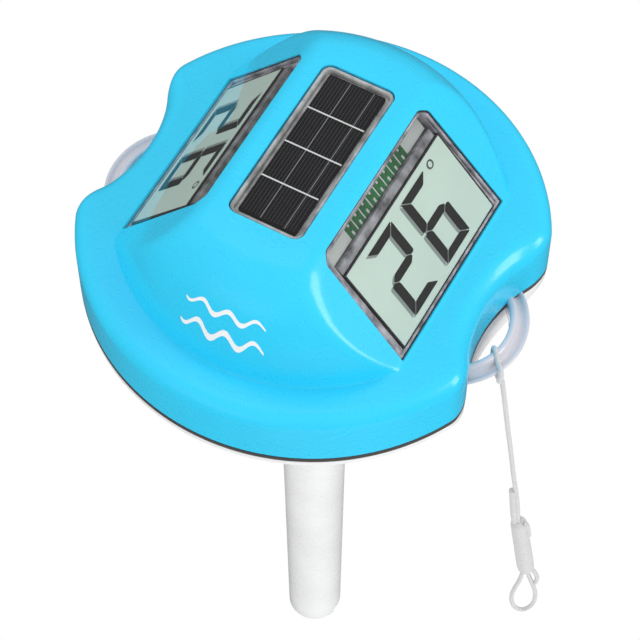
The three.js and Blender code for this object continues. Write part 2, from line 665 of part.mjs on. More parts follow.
add('sensor_tube', sensorTube(), FINISH.hullWhite);
add('tube_seal', solidOf(new THREE.TorusGeometry(11.6, 0.8, 6, 32).translate(0, 0, TUBE_TOP + GAP + 0.8)),
  FINISH.rubberBlack);
add('ballast_weight', ring(6.8, BALLAST_BORE_R, BALLAST_FOOT, BALLAST_TOP), FINISH.steel);

// ---- Tether ----

// The hitch is a closed wrap round the band of the right-hand loop.
function tetherHitch() {
  const bandX = (r, y) => LOOP_CENTRE_X + Math.sqrt(r ** 2 - y ** 2);
  const across = [
    bandX(LOOP_INNER_R, HITCH_Y - HITCH_WIDTH / 2),
    bandX(LOOP_OUTER_R, HITCH_Y + HITCH_WIDTH / 2),
  ];
  const middle = (LOOP_TOP + LOOP_FOOT) / 2;
  const halfHeight = (LOOP_TOP - LOOP_FOOT) / 2;
  const wrap = (grow) => roundedRectangle(
    [across[0] - grow, across[1] + grow],
    [halfHeight + grow, halfHeight + grow],
    0.4 + grow,
  );
  const shape = new THREE.Shape(wrap(GAP + HITCH_THICK).map(([x, z]) => new THREE.Vector2(x, z)));
  shape.holes.push(new THREE.Path(wrap(GAP).map(([x, z]) => new THREE.Vector2(x, z))));
  const geometry = new THREE.ExtrudeGeometry(shape, { depth: HITCH_WIDTH, bevelEnabled: false });
  geometry.translate(0, 0, -HITCH_WIDTH / 2).rotateX(Math.PI / 2).translate(0, HITCH_Y, middle);
  return solidOf(geometry);
}

// A round piece between two points.
function barBetween(from, to, profile) {
  const [a, b] = [new THREE.Vector3(...from), new THREE.Vector3(...to)];
  const length = a.distanceTo(b);
  const geometry = geometryOf(turned(profile(length), 16));
  const turn = new THREE.Quaternion().setFromUnitVectors(new THREE.Vector3(0, 0, 1), b.sub(a).normalize());
  return solidOf(geometry.applyQuaternion(turn).translate(a.x, a.y, a.z));
}

function tether() {
  add('tether_hitch', tetherHitch(), FINISH.cordWhite);
  add('tether_cord', sweptRound(CORD_ROUTE, CORD_R, 26), FINISH.cordWhite);
  const sleeve = barBetween(SLEEVE_TOP, SLEEVE_FOOT, (length) => [[0, 0], [1.4, 0], [SLEEVE_R, 1.5],
    [SLEEVE_R, length - 1], [SLEEVE_R - 0.8, length], [0, length]]);
  add('tether_sleeve', sleeve, FINISH.cordWhite);
  const along = new THREE.Vector3(...SLEEVE_FOOT).sub(new THREE.Vector3(...SLEEVE_TOP)).normalize();
  const start = new THREE.Vector3(...SLEEVE_FOOT).addScaledVector(along, 1.1);
  const foot = new THREE.Vector3(...END_LOOP_FOOT);
  const across = new THREE.Vector3(0.87, 0.49, 0);
  const at = (t, side) => start.clone().lerp(foot, t).addScaledVector(across, side * END_LOOP_HALF_WIDTH);
  const points = [at(0, 0), at(0.25, -0.45), at(0.6, -1), at(0.88, -0.75), at(1, 0), at(0.88, 0.75),
    at(0.6, 1), at(0.25, 0.45)];
  const curve = new THREE.CatmullRomCurve3(points, true);
  add('tether_end_loop', solidOf(new THREE.TubeGeometry(curve, 32, CORD_R, 6, true)), FINISH.cordWhite);
}

tether();

export default thermometer;
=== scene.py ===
"""The looks of the floating pool thermometer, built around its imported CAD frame.

Sizes are in millimetres and are turned to metres when a mesh is made. The origin is on the axis of
the float at the lower edge of its cover, +X points at the right-hand display, -Y at the front slope.
"""

import math

import bmesh
import bpy
from mathutils import Matrix, Vector


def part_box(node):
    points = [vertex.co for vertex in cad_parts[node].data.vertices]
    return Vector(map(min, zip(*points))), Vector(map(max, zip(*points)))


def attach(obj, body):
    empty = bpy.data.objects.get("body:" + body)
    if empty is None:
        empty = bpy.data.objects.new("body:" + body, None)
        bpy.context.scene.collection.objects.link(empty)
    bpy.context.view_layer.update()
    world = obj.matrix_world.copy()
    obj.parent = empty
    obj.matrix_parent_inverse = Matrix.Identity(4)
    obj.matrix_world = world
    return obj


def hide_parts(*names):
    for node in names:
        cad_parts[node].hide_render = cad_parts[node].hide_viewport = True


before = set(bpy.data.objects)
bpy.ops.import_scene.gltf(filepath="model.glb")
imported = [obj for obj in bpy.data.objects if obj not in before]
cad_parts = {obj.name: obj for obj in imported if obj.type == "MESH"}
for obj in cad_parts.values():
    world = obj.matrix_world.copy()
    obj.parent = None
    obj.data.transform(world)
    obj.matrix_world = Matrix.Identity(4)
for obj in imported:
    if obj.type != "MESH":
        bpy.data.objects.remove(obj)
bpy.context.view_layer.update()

MM = 0.001
BODY = "float"

# ---- Driving dimensions, as in the CAD model ----

RIM_R = 65.0
NOTCH_R = 42.0
NOTCH_CENTRE_X = 95.0
CORNER_R = 5.0
SHELF_Z = 18.5
RIM_ROUND = 4.5
NOTCH_ROUND = 6.5
COVER_WALL = 2.2
HAT_PROFILE = [(0, 49.4), (15, 49.35), (30, 49.1), (36, 48.5), (40.3, 46.5), (44, 43.3), (47.3, 39),
               (49.9, 33.5), (51.6, 28.5), (53.2, 22.5), (54.6, 15.0), (70.0, -70.0)]
FACET_TOP = (18.97, 46.8)
FACET_FOOT = (43.1, 18.5)
FACET_SLOPE = math.atan2(FACET_TOP[1] - FACET_FOOT[1], FACET_FOOT[0] - FACET_TOP[0])
FACET_X = (FACET_TOP[0] + FACET_FOOT[0]) / 2
FACET_Z = (FACET_TOP[1] + FACET_FOOT[1]) / 2

# A display opening in its facet's frame, X down the slope, and its half widths at the top and the foot.
WINDOW_X = (-20.3, 18.3)
WINDOW_HALF_Y = (28.0, 29.0)
SOLAR_HALF = (11.05, 27.0)
SOLAR_TOP = 49.1

GASKET = (-1.9, -0.3)
HULL_TOP = -2.2
BOWL_PROFILE = [(0, -24.4), (15.5, -24.4), (22, -23.2), (34, -20.6), (46, -16.5), (55, -11.5),
                (61.5, -6.2), (64.2, -4.4), (65.2, -3.4)]
BOWL_RIM_Z = -3.3
NECK_R = 9.4
BUTTON_Y = -34.0
BUTTON_POCKET_R = 5.4
SCREW_AZIMUTHS = (45, 135, 225, 315)
SCREW_CIRCLE_R = 57.0

LOOP_CENTRE_X = 43.0

TUBE_FOOT = -221.0
SLOT_WIDTH = 7.5
SLOT_TOP = -218.9
SLOT_AZIMUTH = 13.0
RIB_COUNT = 24
RIB_CIRCLE_R = 13.0

CORD_R = 0.7


# ---- Small maths ----

def smooth_min(a, b, width):
    overlap = max(width - abs(a - b), 0.0) / width
    return min(a, b) - overlap * overlap * width / 4


def smooth_max(a, b, width):
    return -smooth_min(-a, -b, width)


def curve_through(points):
    """A smooth height for any radius, through the given points, without overshoot."""
    xs = [float(x) for x, _ in points]
    ys = [float(y) for _, y in points]
    count = len(xs)
    slopes = [(ys[i + 1] - ys[i]) / (xs[i + 1] - xs[i]) for i in range(count - 1)]
    tangents = [slopes[0]] + [0.0] * (count - 2) + [slopes[-1]]
    for i in range(1, count - 1):
        before, after = slopes[i - 1], slopes[i]
        if before * after > 0:
            tangents[i] = 2 * before * after / (before + after)

    def height(x):
        x = min(max(x, xs[0]), xs[-1])
        i = next(k for k in range(count - 1) if x <= xs[k + 1])
        span = xs[i + 1] - xs[i]
        t = (x - xs[i]) / span
        return (
            (1 + 2 * t) * (1 - t) ** 2 * ys[i]
            + t * (1 - t) ** 2 * span * tangents[i]
            + t * t * (3 - 2 * t) * ys[i + 1]
            + t * t * (t - 1) * span * tangents[i + 1]
        )

    return height


hat_height = curve_through(HAT_PROFILE)


def arc(cx, cy, r, start, end, steps):
    """Points of an arc, its end left out."""
    turns = [start + (end - start) * i / steps for i in range(steps)]
    return [(cx + r * math.cos(turn), cy + r * math.sin(turn)) for turn in turns]


def rim_depth(x, y):
    """How far a point lies inside the float's outline, negative outside it."""
    to_rim = RIM_R - math.hypot(x, y)
    to_notch = math.hypot(abs(x) - NOTCH_CENTRE_X, y) - NOTCH_R
    near_rim = CORNER_R - to_rim
    near_notch = CORNER_R - to_notch
    if near_rim > 0 and near_notch > 0:
        return CORNER_R - math.hypot(near_rim, near_notch)
    return min(to_rim, to_notch)


def at_depth(angle, depth):
    """The radius on a ray from the axis at which the rim depth has this value."""
    low, high = 20.0, 70.0
    c, s = math.cos(angle), math.sin(angle)
    for _ in range(40):
        middle = (low + high) / 2
        if rim_depth(middle * c, middle * s) > depth:
            low = middle
        else:
            high = middle
    return low


def cover_height(x, y):
    """The height of the cover's outer surface above the waterline."""
    ridge = 3.2
    foot = 1.3
    facet = FACET_TOP[1] - (abs(x) - FACET_TOP[0]) * math.tan(FACET_SLOPE)
    hat = smooth_min(hat_height(math.hypot(x, y)), facet, ridge)
    notch_share = min(max((abs(x) - 45.0) / 10.0, 0.0), 1.0) * min(max((24.0 - abs(y)) / 8.0, 0.0), 1.0)
    edge = RIM_ROUND + (NOTCH_ROUND - RIM_ROUND) * notch_share
    depth = min(max(rim_depth(x, y), 0.0), edge)
    shelf = SHELF_Z - edge + math.sqrt(max(edge ** 2 - (edge - depth) ** 2, 0.0))
    return smooth_max(hat, shelf, foot)


def rounded_rectangle(x_range, y_half, r, steps=8):
    """An outline with round corners. y_half is the half width at the low-X and at the high-X end."""
    (x0, x1), (low, high), q = x_range, y_half, math.pi / 2
    return (
        arc(x1 - r, high - r, r, 0, q, steps)
        + arc(x0 + r, low - r, r, q, 2 * q, steps)
        + arc(x0 + r, -low + r, r, 2 * q, 3 * q, steps)
        + arc(x1 - r, -high + r, r, 3 * q, 4 * q, steps)
    )


# ---- Meshes ----

def finish_mesh(name, bm, material, smooth_angle=35.0):
    """An object in the row frame from a bmesh in millimetres."""
    bmesh.ops.scale(bm, vec=(MM, MM, MM), verts=bm.verts)
    bmesh.ops.recalc_face_normals(bm, faces=bm.faces)
    mesh = bpy.data.meshes.new(name)
    bm.to_mesh(mesh)
    bm.free()
    obj = bpy.data.objects.new(name, mesh)
    bpy.context.scene.collection.objects.link(obj)
    if material is not None:
        mesh.materials.append(material)
    shade(obj, smooth_angle)
    return obj


def shade(obj, smooth_angle):
    """Smooth shading, with edges sharper than the angle kept sharp."""
    mesh = obj.data
    mesh.shade_smooth()
    mesh.set_sharp_from_angle(angle=math.radians(smooth_angle))


def add_rings(bm, rings, closed=False, cap_ends=True):
    """Joins rings of points, each a closed loop of equal length, into a skin."""
    loops = [[bm.verts.new(p) for p in ring] for ring in rings]
    count = len(rings[0])
    pairs = list(zip(loops, loops[1:]))
    if closed:
        pairs.append((loops[-1], loops[0]))
    for lower, upper in pairs:
        for i in range(count):
            j = (i + 1) % count
            bm.faces.new((lower[i], lower[j], upper[j], upper[i]))
    if cap_ends and not closed:
        bm.faces.new(list(reversed(loops[0])))
        bm.faces.new(loops[-1])


def add_prism(bm, outline, z0, z1, chamfer=0.0):
    """A closed plate from an outline, its two faces inset by the chamfer."""
    centre_x = sum(x for x, _ in outline) / len(outline)
    centre_y = sum(y for _, y in outline) / len(outline)
    reach = max(abs(x - centre_x) for x, _ in outline)
    reach_y = max(abs(y - centre_y) for _, y in outline)

    def inset(amount):
        sx, sy = 1 - amount / reach, 1 - amount / reach_y
        return [(centre_x + (x - centre_x) * sx, centre_y + (y - centre_y) * sy) for x, y in outline]

    if chamfer:
        small = inset(chamfer)
        levels = [(small, z0), (outline, z0 + chamfer), (outline, z1 - chamfer), (small, z1)]
    else:
        levels = [(outline, z0), (outline, z1)]
    add_rings(bm, [[(x, y, z) for x, y in points] for points, z in levels])


def add_frame(bm, outer, inner, z0, z1, chamfer=0.15):
    """A closed frame between two outlines of equal length, with chamfered edges."""
    rings = []
    for points, z, mix in (
        (outer, z0, 0.0), (outer, z1 - chamfer, 0.0), (outer, z1, chamfer),
        (inner, z1, chamfer), (inner, z1 - chamfer, 0.0), (inner, z0, 0.0),
    ):
        other = inner if points is outer else outer
        ring = []
        for (x, y), (ox, oy) in zip(points, other):
            gap = math.hypot(ox - x, oy - y) or 1.0
            share = mix / gap
            ring.append((x + (ox - x) * share, y + (oy - y) * share, z))
        rings.append(ring)
    add_rings(bm, rings, closed=True)


def add_lathe(bm, profile, sides=96):
    """A closed solid of revolution about Z. The profile runs from the axis to the axis, or closes."""
    closes = profile[0] == profile[-1]
    points = profile[:-1] if closes else profile
    rings = []
    for r, z in points:
        r = max(r, 1e-4)
        rings.append([
            (r * math.cos(2 * math.pi * i / sides), r * math.sin(2 * math.pi * i / sides), z)
            for i in range(sides)
        ])
    add_rings(bm, rings, closed=closes)
    bmesh.ops.remove_doubles(bm, verts=bm.verts, dist=1e-3)


def rounded_profile(points, radius, steps=4):
    """A polyline with its inner corners rounded by short arcs."""
    result = [points[0]]
    for before, corner, after in zip(points, points[1:], points[2:]):
        c = Vector(corner)
        a, b = Vector(before) - c, Vector(after) - c
        reach = min(radius, a.length / 2.2, b.length / 2.2)
        start, end = c + a.normalized() * reach, c + b.normalized() * reach
        for i in range(steps + 1):
            t = i / steps
            p = start * (1 - t) ** 2 + c * 2 * t * (1 - t) + end * t * t
            result.append((p.x, p.y))
    result.append(points[-1])
    return result


def add_tube(bm, path, radius, sides=12, closed=False, relief=None):
    """A round skin along a path of points. relief(along, around) scales the radius."""
    points = [Vector(p) for p in path]
    count = len(points)
    rings = []
    along = 0.0
    side = None
    for i, p in enumerate(points):
        before = points[(i - 1) % count] if closed or i else p
        after = points[(i + 1) % count] if closed or i + 1 < count else p
        ahead = (after - before).normalized()
        if side is None:
            side = ahead.orthogonal().normalized()
        side = (side - ahead * side.dot(ahead)).normalized()
        up = ahead.cross(side)
        if i:
            along += (p - points[i - 1]).length
        ring = []
        for k in range(sides):
            angle = 2 * math.pi * k / sides
            r = radius * (relief(along, angle) if relief else 1.0)
            ring.append(p + (side * math.cos(angle) + up * math.sin(angle)) * r)
        rings.append(ring)
    add_rings(bm, rings, closed=closed)


def smooth_path(points, step, closed=False):
    """Points at an even spacing on a Catmull-Rom curve through the given ones."""
    knots = [Vector(p) for p in points]
    count = len(knots)
    fine = []
    spans = count if closed else count - 1
    for i in range(spans):
        if closed:
            a, b, c, d = (knots[(i + k) % count] for k in (-1, 0, 1, 2))
        else:
            a, b, c, d = knots[max(i - 1, 0)], knots[i], knots[i + 1], knots[min(i + 2, count - 1)]
        for j in range(24):
            t = j / 24
            fine.append(0.5 * (
                2 * b + (c - a) * t + (2 * a - 5 * b + 4 * c - d) * t * t + (3 * b - a - 3 * c + d) * t ** 3
            ))
    fine.append(knots[0] if closed else knots[-1])
    result = [fine[0]]
    travelled = 0.0
    for p, q in zip(fine, fine[1:]):
        length = (q - p).length
        while travelled + length >= step and length > 0:
            share = (step - travelled) / length
            p = p.lerp(q, share)
            length = (q - p).length
            travelled = 0.0
            result.append(p)
        travelled += length
    if closed:
        if (result[-1] - result[0]).length < step * 0.5:
            result.pop()
    elif (result[-1] - fine[-1]).length > 1e-6:
        result.append(fine[-1])
    return result


def evaluated(obj):
    """Replaces an object's mesh by what its modifiers make of it."""
    depsgraph = bpy.context.evaluated_depsgraph_get()
    mesh = bpy.data.meshes.new_from_object(obj.evaluated_get(depsgraph))
    obj.modifiers.clear()
    obj.data = mesh
    return obj


def cut(obj, cutters):
    """Cuts the cutters out of an object and removes them."""
    for cutter in cutters:
        modifier = obj.modifiers.new("cut", "BOOLEAN")
        modifier.operation = "DIFFERENCE"
        modifier.solver = "EXACT"
        modifier.object = cutter
    evaluated(obj)
    for cutter in cutters:
        bpy.data.objects.remove(cutter)
    return obj


def facet_matrix(side):
    """From the frame of a display facet to the row frame. side is 0 for right and 1 for left."""
    place = Matrix.Translation((FACET_X * MM, 0, FACET_Z * MM))
    return Matrix.Rotation(side * math.pi, 4, "Z") @ place @ Matrix.Rotation(FACET_SLOPE, 4, "Y")


def put(obj, matrix):
    """Moves an object's mesh by a matrix and leaves the object at the origin."""
    obj.data.transform(matrix)
    return obj


def keep(obj, body=BODY, stands_for=()):
    """Makes a piece ride on a body and stand for CAD nodes."""
    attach(obj, body)
    if stands_for:
        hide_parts(*stands_for)
    return obj


# ---- Materials ----

def principled(name, color, roughness, **sockets):
    material = bpy.data.materials.new(name)
    material.use_nodes = True
    shader = material.node_tree.nodes["Principled BSDF"]
    shader.inputs["Base Color"].default_value = (*color, 1.0)
    shader.inputs["Roughness"].default_value = roughness
    for socket, value in sockets.items():
        shader.inputs[socket.replace("_", " ")].default_value = value
    return material


def add_noise(material, scale, detail=3.0, stretch=(1, 1, 1)):
    """A noise value over the object's own coordinates, in cycles per metre."""
    nodes, links = material.node_tree.nodes, material.node_tree.links
    coordinates = nodes.new("ShaderNodeTexCoord")
    mapping = nodes.new("ShaderNodeMapping")
    mapping.inputs["Scale"].default_value = stretch
    noise = nodes.new("ShaderNodeTexNoise")
    noise.inputs["Scale"].default_value = scale
    noise.inputs["Detail"].default_value = detail
    links.new(coordinates.outputs["Object"], mapping.inputs["Vector"])
    links.new(mapping.outputs["Vector"], noise.inputs["Vector"])
    return noise.outputs["Fac"]


def vary_roughness(material, value, low, high):
    nodes, links = material.node_tree.nodes, material.node_tree.links
    spread = nodes.new("ShaderNodeMapRange")
    spread.inputs["To Min"].default_value = low
    spread.inputs["To Max"].default_value = high
    links.new(value, spread.inputs["Value"])
    links.new(spread.outputs["Result"], nodes["Principled BSDF"].inputs["Roughness"])


def vary_color(material, value, dark, light):
    nodes, links = material.node_tree.nodes, material.node_tree.links
    ramp = nodes.new("ShaderNodeValToRGB")
    ramp.color_ramp.elements[0].position = 0.3
    ramp.color_ramp.elements[0].color = (*dark, 1)
    ramp.color_ramp.elements[1].position = 0.7
    ramp.color_ramp.elements[1].color = (*light, 1)
    links.new(value, ramp.inputs["Fac"])
    links.new(ramp.outputs["Color"], nodes["Principled BSDF"].inputs["Base Color"])


def add_bump(material, value, strength, distance):
    nodes, links = material.node_tree.nodes, material.node_tree.links
    bump = nodes.new("ShaderNodeBump")
    bump.inputs["Strength"].default_value = strength
    bump.inputs["Distance"].default_value = distance
    links.new(value, bump.inputs["Height"])
    links.new(bump.outputs["Normal"], nodes["Principled BSDF"].inputs["Normal"])


def moulded(name, color, roughness, skin=0.012, shift=0.04, mottle=60, **sockets):
    """Moulded plastic: an even colour with a faint cloudiness and a very fine skin."""
    material = principled(name, color, roughness, **sockets)
    cloud = add_noise(material, mottle)
    vary_color(material, cloud, [c * (1 - shift) for c in color], [min(c * (1 + shift), 1) for c in color])
    vary_roughness(material, add_noise(material, 400), roughness * 0.85, roughness * 1.15)
    if skin:
        add_bump(material, add_noise(material, 2500), skin, 0.00002)
    return material


def clear_plastic(name, tint, roughness):
    """Thin clear plastic: what lies behind shows through, and the surface mirrors by Fresnel."""
    material = bpy.data.materials.new(name)
    material.use_nodes = True
    nodes, links = material.node_tree.nodes, material.node_tree.links
    nodes.remove(nodes["Principled BSDF"])
    fresnel = nodes.new("ShaderNodeFresnel")
    fresnel.inputs["IOR"].default_value = 1.49
    see = nodes.new("ShaderNodeBsdfTransparent")
    see.inputs["Color"].default_value = (*tint, 1)
    shine = nodes.new("ShaderNodeBsdfGlossy")
    shine.inputs["Roughness"].default_value = roughness
    geometry = nodes.new("ShaderNodeNewGeometry")
    front = nodes.new("ShaderNodeMath")
    front.operation = "SUBTRACT"
    front.inputs[0].default_value = 1.0
    links.new(geometry.outputs["Backfacing"], front.inputs[1])
    share = nodes.new("ShaderNodeMath")
    share.operation = "MULTIPLY"
    links.new(fresnel.outputs["Fac"], share.inputs[0])
    links.new(front.outputs["Value"], share.inputs[1])
    mix = nodes.new("ShaderNodeMixShader")
    links.new(share.outputs["Value"], mix.inputs["Fac"])
    links.new(see.outputs["BSDF"], mix.inputs[1])
    links.new(shine.outputs["BSDF"], mix.inputs[2])
    links.new(mix.outputs["Shader"], nodes["Material Output"].inputs["Surface"])
    return material


def braided(name, color):
    """White braided cord: matt, with a fine weave."""
    material = principled(name, color, 0.75, Sheen_Weight=0.3)
    add_bump(material, add_noise(material, 4000, 2.0), 0.25, 0.00006)
    vary_color(material, add_noise(material, 900), [c * 0.9 for c in color], color)
    return material


COVER_BLUE = moulded("cover_blue", (0.022, 0.65, 0.98), 0.28, skin=0, shift=0.015, Coat_Weight=0.35,
                     Coat_Roughness=0.1)
HULL_WHITE = moulded("hull_white", (0.90, 0.905, 0.91), 0.28, skin=0, Coat_Weight=0.2)
# Milky white plastic; its faint lavender cast is a painted reflection of violet light.
LOOP_MILKY_VIOLET_REFLECTION = moulded("loop_milky_violet_reflection", (0.68, 0.665, 0.72), 0.2, skin=0, shift=0.06, Coat_Weight=0.5)
MARK_WHITE = moulded("mark_white", (0.93, 0.95, 0.96), 0.35, shift=0.01)
GASKET_GREY = moulded("gasket_grey", (0.075, 0.065, 0.065), 0.6)
# Grey with a strong mottle: painted reflection, standing in for what the clear display window's thick side
# walls mirror. It colours the display skirts and the display holders.
WALL_REFLECTION_GREY = moulded("painted_reflection_grey", (0.41, 0.38, 0.41), 0.2, shift=0.65, mottle=260, Coat_Weight=0.6,
                     Coat_Roughness=0.04)
BEZEL_DARK = moulded("bezel_dark", (0.04, 0.033, 0.036), 0.25)
BEZEL_PALE = moulded("bezel_pale", (0.48, 0.46, 0.45), 0.22, shift=0.45, mottle=260, Coat_Weight=0.5)
CLEAR = clear_plastic("clear_window", (0.96, 0.975, 0.98), 0.02)
LCD_FACE = moulded("lcd_face", (0.64, 0.755, 0.66), 0.4, shift=0.03)
LCD_SHADOW = moulded("lcd_shadow", (0.27, 0.31, 0.285), 0.5)
LCD_INK = moulded("lcd_ink", (0.032, 0.028, 0.027), 0.6, Specular_IOR_Level=0.2)
STRIP_METAL = moulded("strip_metal", (0.27, 0.26, 0.27), 0.3, shift=0.7, mottle=260)
BOARD_GREEN = moulded("board_green", (0.015, 0.13, 0.035), 0.4, shift=0.3)
BOARD_PALE = moulded("board_pale", (0.55, 0.56, 0.53), 0.45, shift=0.2)
SOLAR_BLACK = moulded("solar_black", (0.006, 0.005, 0.007), 0.6, skin=0, shift=0.4, Specular_IOR_Level=0.1)
SOLAR_LINE = moulded("solar_line", (0.82, 0.80, 0.77), 0.35)
SOLAR_WIRE = moulded("solar_wire", (0.30, 0.30, 0.31), 0.35)
SOLAR_FINE = moulded("solar_fine", (0.065, 0.062, 0.07), 0.5)
CHIP_BLACK = moulded("chip_black", (0.02, 0.02, 0.022), 0.5)
RUBBER_BLACK = moulded("rubber_black", (0.02, 0.02, 0.022), 0.75)
STEEL = moulded("steel", (0.62, 0.63, 0.65), 0.3, Metallic=1.0)
WIRE_WHITE = moulded("wire_white", (0.78, 0.78, 0.78), 0.5)
CORD_WHITE = braided("cord_white", (0.66, 0.66, 0.67))


# ---- Cover ----

def cover_rings():
    """Rings of the cover's outer surface, from its lower edge to its crown."""
    rays = 360
    angles = [2 * math.pi * i / rays for i in range(rays)]
    edge = [at_depth(a, 0.0) for a in angles]
    rings = []
    for z in (0.0, 0.25, 4.0, 8.0):
        depth = 0.25 if z == 0.0 else 0.0
        radii = edge if depth == 0.0 else [at_depth(a, depth) for a in angles]
        rings.append([(r * math.cos(a), r * math.sin(a), z) for r, a in zip(radii, angles)])
    depths = [1e-6] + [NOTCH_ROUND * (1 - math.cos(math.pi / 2 * k / 12)) for k in range(1, 13)]
    for depth in depths:
        radii = [at_depth(a, depth) for a in angles]
        rings.append([
            (r * math.cos(a), r * math.sin(a), cover_height(r * math.cos(a), r * math.sin(a)))
            for r, a in zip(radii, angles)
        ])
    inner = [at_depth(a, NOTCH_ROUND) for a in angles]
    reach = RIM_R - NOTCH_ROUND
    radius = reach
    while radius > 1.5:
        radius -= 0.35 if radius > 46 else 0.75
        share = radius / reach
        ring = []
        for r, a in zip(inner, angles):
            x, y = r * share * math.cos(a), r * share * math.sin(a)
            ring.append((x, y, cover_height(x, y)))
        rings.append(ring)
    return rings


def display_outline(grow):
    """The display opening in the facet frame: chamfered at the top corners, sharp at the foot."""
    x0, x1 = WINDOW_X[0] - grow, WINDOW_X[1] + grow
    top, foot = WINDOW_HALF_Y[0] + grow, WINDOW_HALF_Y[1] + grow
    corner = 2.6
    points = [
        (x1, foot), (x0 + corner, top), (x0, top - corner),
        (x0, -top + corner), (x0 + corner, -top), (x1, -foot),
    ]
    rounded = []
    for i, here in enumerate(points):
        before, after = points[i - 1], points[(i + 1) % len(points)]
        rounded += rounded_profile([before, here, after], 0.9 if 0 < i < 5 else 0.4)[1:-1]
    return rounded


def solar_outline(grow):
    half_x, half_y = SOLAR_HALF[0] + grow, SOLAR_HALF[1] + grow
    return rounded_rectangle((-half_x, half_x), (half_y, half_y), 3 + grow)


def make_prism(name, outline, z0, z1, material=None, chamfer=0.0):
    bm = bmesh.new()
    add_prism(bm, outline, z0, z1, chamfer)
    return finish_mesh(name, bm, material)


def make_cover():
    bm = bmesh.new()
    add_rings(bm, cover_rings(), cap_ends=False)
    crown = max(bm.verts, key=lambda v: v.co.z)
    top_ring = [v for v in bm.verts if abs(v.co.z - crown.co.z) < 0.2 and v.co.xy.length < 2.0]
    boundary = [e for e in bm.edges if e.is_boundary and all(v in top_ring for v in e.verts)]
    bmesh.ops.contextual_create(bm, geom=boundary)
    cover = finish_mesh("cover_shell", bm, COVER_BLUE)
    wall = cover.modifiers.new("wall", "SOLIDIFY")
    wall.thickness = COVER_WALL * MM
    wall.offset = -1
    evaluated(cover)
    cutters = []
    for i in (0, 1):
        opening = make_prism(f"display_cut_{i}", display_outline(0), -6, 6)
        cutters.append(put(opening, facet_matrix(i)))
    cutters.append(make_prism("solar_cut", solar_outline(0), 40, 60))
    cut(cover, cutters)
    shade(cover, 30)
    keep(cover, stands_for=["top_cover"])


make_cover()


# ---- Camera, light and world ----

CAMERA_AZIMUTH = math.radians(29.2)
CAMERA_ELEVATION = math.radians(56.85)
CAMERA_DISTANCE = 700.7
CAMERA_LENS = 142.0
AIM_RIGHT = 1.75
AIM_DOWN = 18.62
AMBIENT = 0.68
MIRRORED_LOW = 0.1
MIRRORED_HIGH = 0.5


def make_camera():
    a, e = CAMERA_AZIMUTH, CAMERA_ELEVATION
    back = Vector((math.sin(a) * math.cos(e), -math.cos(a) * math.cos(e), math.sin(e)))
    right = Vector((math.cos(a), math.sin(a), 0))
    up = back.cross(right)
    target = right * AIM_RIGHT - up * AIM_DOWN
    data = bpy.data.cameras.new("camera")
    data.lens = CAMERA_LENS
    data.sensor_width = 36.0
    data.clip_start = 0.01
    data.clip_end = 20.0
    camera = bpy.data.objects.new("camera", data)
    bpy.context.scene.collection.objects.link(camera)
    camera.location = back * CAMERA_DISTANCE * MM
    camera.rotation_mode = "QUATERNION"
    camera.rotation_quaternion = (target * MM - camera.location).to_track_quat("-Z", "Y")
    bpy.context.scene.camera = camera


def add_area_light(name, place, size, power, mirrored=False):
    """A soft light aimed at the float. mirrored says whether glossy surfaces show it."""
    data = bpy.data.lights.new(name, "AREA")
    data.shape = "RECTANGLE"
    data.size, data.size_y = size
    data.energy = power
    light = bpy.data.objects.new(name, data)
    bpy.context.scene.collection.objects.link(light)
    light.location = place
    light.rotation_mode = "QUATERNION"
    light.rotation_quaternion = (-Vector(place)).to_track_quat("-Z", "Y")
    light.visible_glossy = mirrored


def make_world():
    """A white room. Mirrored rays see it darker below the horizon than above."""
    world = bpy.data.worlds.new("studio")
    bpy.context.scene.world = world
    world.use_nodes = True
    nodes, links = world.node_tree.nodes, world.node_tree.links
    nodes.clear()
    path = nodes.new("ShaderNodeLightPath")
    coordinates = nodes.new("ShaderNodeTexCoord")
    split = nodes.new("ShaderNodeSeparateXYZ")
    links.new(coordinates.outputs["Generated"], split.inputs["Vector"])
    height = nodes.new("ShaderNodeMapRange")
    height.inputs["From Min"].default_value = -0.25
    height.inputs["From Max"].default_value = 0.75
    height.inputs["To Min"].default_value = MIRRORED_LOW
    height.inputs["To Max"].default_value = MIRRORED_HIGH
    links.new(split.outputs["Z"], height.inputs["Value"])

    def background(strength):
        node = nodes.new("ShaderNodeBackground")
        node.inputs["Color"].default_value = (1, 1, 1, 1)
        node.inputs["Strength"].default_value = strength
        return node

    seen, mirrored, lit = background(1.0), background(1.0), background(AMBIENT)
    links.new(height.outputs["Result"], mirrored.inputs["Strength"])
    inner = nodes.new("ShaderNodeMixShader")
    links.new(path.outputs["Is Glossy Ray"], inner.inputs["Fac"])
    links.new(lit.outputs["Background"], inner.inputs[1])
    links.new(mirrored.outputs["Background"], inner.inputs[2])
    outer = nodes.new("ShaderNodeMixShader")
    links.new(path.outputs["Is Camera Ray"], outer.inputs["Fac"])
    links.new(inner.outputs["Shader"], outer.inputs[1])
    links.new(seen.outputs["Background"], outer.inputs[2])
    output = nodes.new("ShaderNodeOutputWorld")
    links.new(outer.outputs["Shader"], output.inputs["Surface"])


def make_lights():
    add_area_light("top", (-0.35, 0.25, 1.4), (0.7, 0.7), 5)
    add_area_light("right", (1.2, 0.2, 0.5), (0.5, 0.9), 6, mirrored=True)
    add_area_light("front", (-0.2, -1.3, 0.35), (0.9, 0.5), 4)
    add_area_light("below", (0.5, -0.6, -0.8), (1.0, 1.0), 4)
    bpy.context.scene.view_settings.view_transform = "Standard"


make_camera()
make_world()
make_lights()


# ---- Displays ----

# The lit face of a display in the facet frame: X down the slope, Y the reading direction.
LCD_X = (-10.5, 16.7)
LCD_Y = (-25.0, 25.9)
LCD_TOP = -0.75

# The contact pads, counted along Y from the lower end of the lit face.
PAD_COUNT = 8
PAD_START = 11.4
PAD_SPACING = 3.9

